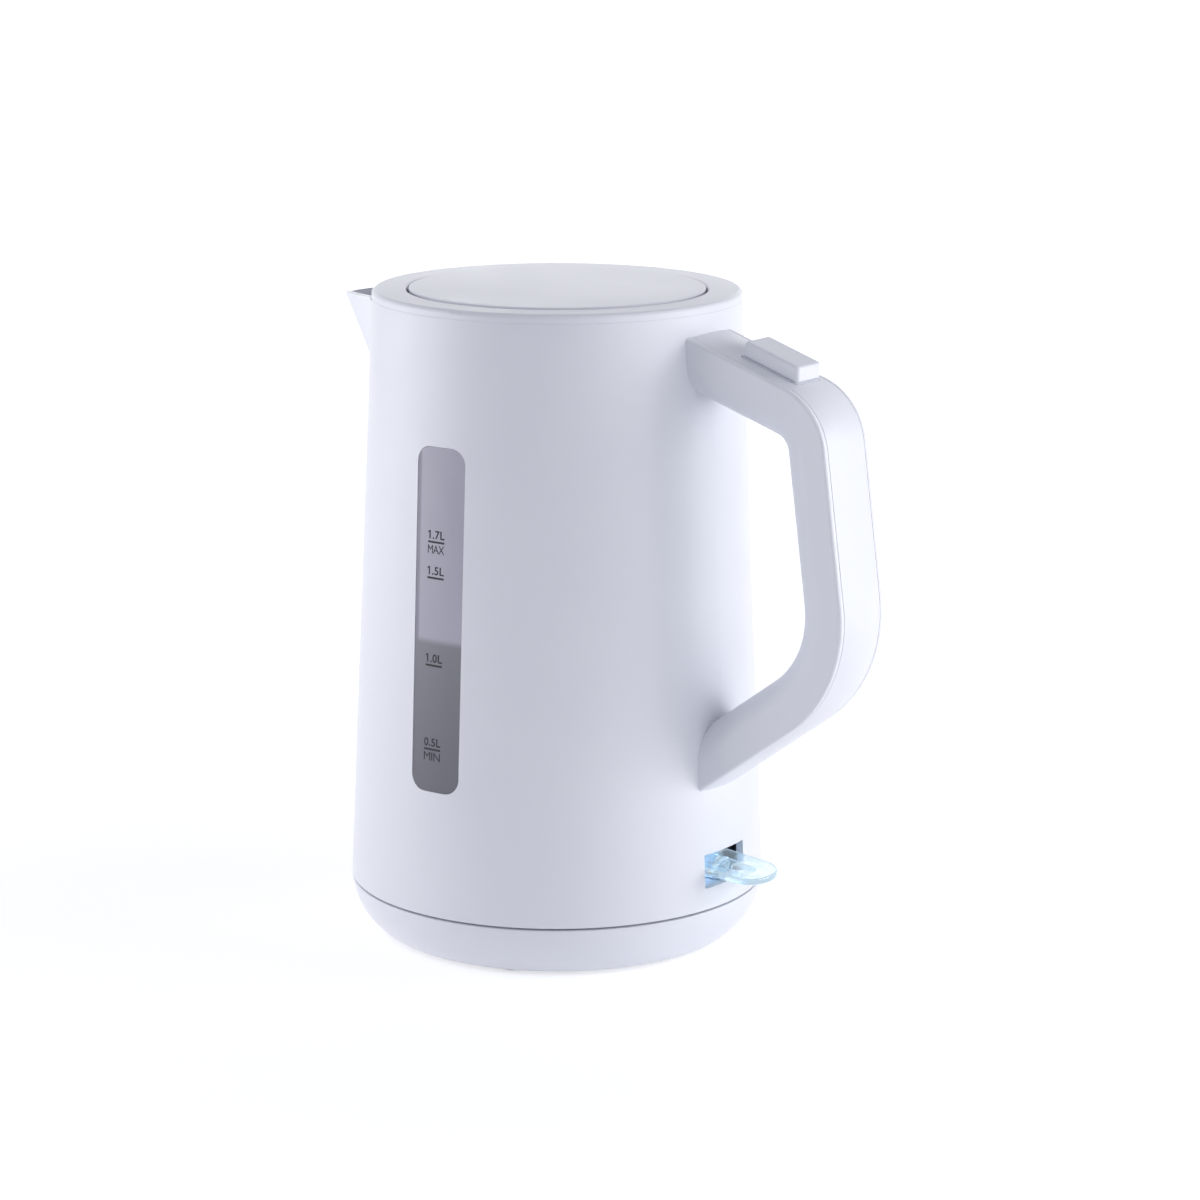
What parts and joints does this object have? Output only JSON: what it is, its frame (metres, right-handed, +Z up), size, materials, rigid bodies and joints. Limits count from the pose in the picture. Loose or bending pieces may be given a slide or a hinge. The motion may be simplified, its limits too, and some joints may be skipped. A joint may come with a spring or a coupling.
{
  "type": "electric kettle",
  "caption": "Cordless jug kettle: tapered white body, V beak, C handle with lid release, side water window, lit paddle switch and a round power base.",
  "frame": {"origin": "centre of the kettle's axis on the table it stands on", "axes": "+Z up along the body's axis, +X out through the handle and switch, -X through the beak, -Y out through the water window"},
  "size_m": [0.2341, 0.1568, 0.2455],
  "materials": {
    "white_plastic": "satin moulded, white",
    "grey_plastic": "matte moulded, grey",
    "clear_grey_plastic": "smoky see-through",
    "clear_blue_plastic": "see-through, lit pale blue",
    "lamp_plastic": "clear lens, lit pale blue",
    "white_tube": "plain moulded",
    "grey_rubber": "soft matte",
    "steel": "plain drawn or pressed",
    "element_sheath": "dull sheath"
  },
  "bodies": {
    "base": {"base_shell": "white_plastic", "base_bottom": "white_plastic", "base_feet": "grey_rubber", "base_screws": "steel", "base_socket": "grey_plastic", "cord_inlet": "grey_plastic"},
    "plug": {"jug_connector": "grey_plastic"},
    "jug": {"body_shell": "white_plastic", "jug_bottom": "white_plastic", "bottom_screws": "steel", "water_window": "clear_grey_plastic", "window_gasket": "grey_rubber", "plate_gasket": "grey_rubber", "heater_plate": "steel", "heating_element": "element_sheath", "control_housing": "grey_plastic", "bimetal_disc": "steel", "indicator_lamp": "lamp_plastic", "switch_pin": "steel", "steam_tube": "white_tube", "handle_shell": "white_plastic", "handle_cover": "white_plastic", "latch_spring": "steel", "top_collar": "white_plastic", "lid_spring": "steel"},
    "lid": {"lid_top": "white_plastic", "lid_inner": "white_plastic", "lid_hinge_pins": "steel"},
    "button": {"release_button": "white_plastic"},
    "latch": {"latch_bolt": "white_plastic"},
    "switch": {"switch_lever": "clear_blue_plastic"},
    "filter": {"filter_frame": "white_plastic", "filter_mesh": "steel"}
  },
  "joints": [
    {"name": "jug_lift", "type": "slide", "parent": "base", "child": "plug", "axis": [0, 0, 1], "range_m": [0, 0.06]},
    {"name": "jug_swivel", "type": "hinge", "parent": "plug", "child": "jug", "pos_m": [0, 0, 0.037], "axis": [0, 0, 1], "continuous": true},
    {"name": "lid_hinge", "type": "hinge", "parent": "jug", "child": "lid", "pos_m": [0.0368, 0, 0.2439], "axis": [0, 1, 0], "range_deg": [0, 70], "deforming": ["lid_spring"]},
    {"name": "button_press", "type": "slide", "parent": "jug", "child": "button", "axis": [-0.3173, 0, -0.9483], "range_m": [0, 0.003], "stiffness_N_per_m": 400, "springref_m": -0.002},
    {"name": "latch_slide", "type": "slide", "parent": "jug", "child": "latch", "axis": [0.9483, 0, -0.3173], "range_m": [0, 0.004], "deforming": ["latch_spring"]},
    {"name": "switch_rock", "type": "hinge", "parent": "jug", "child": "switch", "pos_m": [0.064, 0, 0.0374], "axis": [0, -1, 0], "range_deg": [0, 12]},
    {"name": "filter_slide", "type": "slide", "parent": "jug", "child": "filter", "axis": [1, 0, 0], "range_m": [0, 0.02]}
  ],
  "couplings": [
    {"joint": "latch_slide", "follows": "button_press", "ratio": 1.3333}
  ]
}
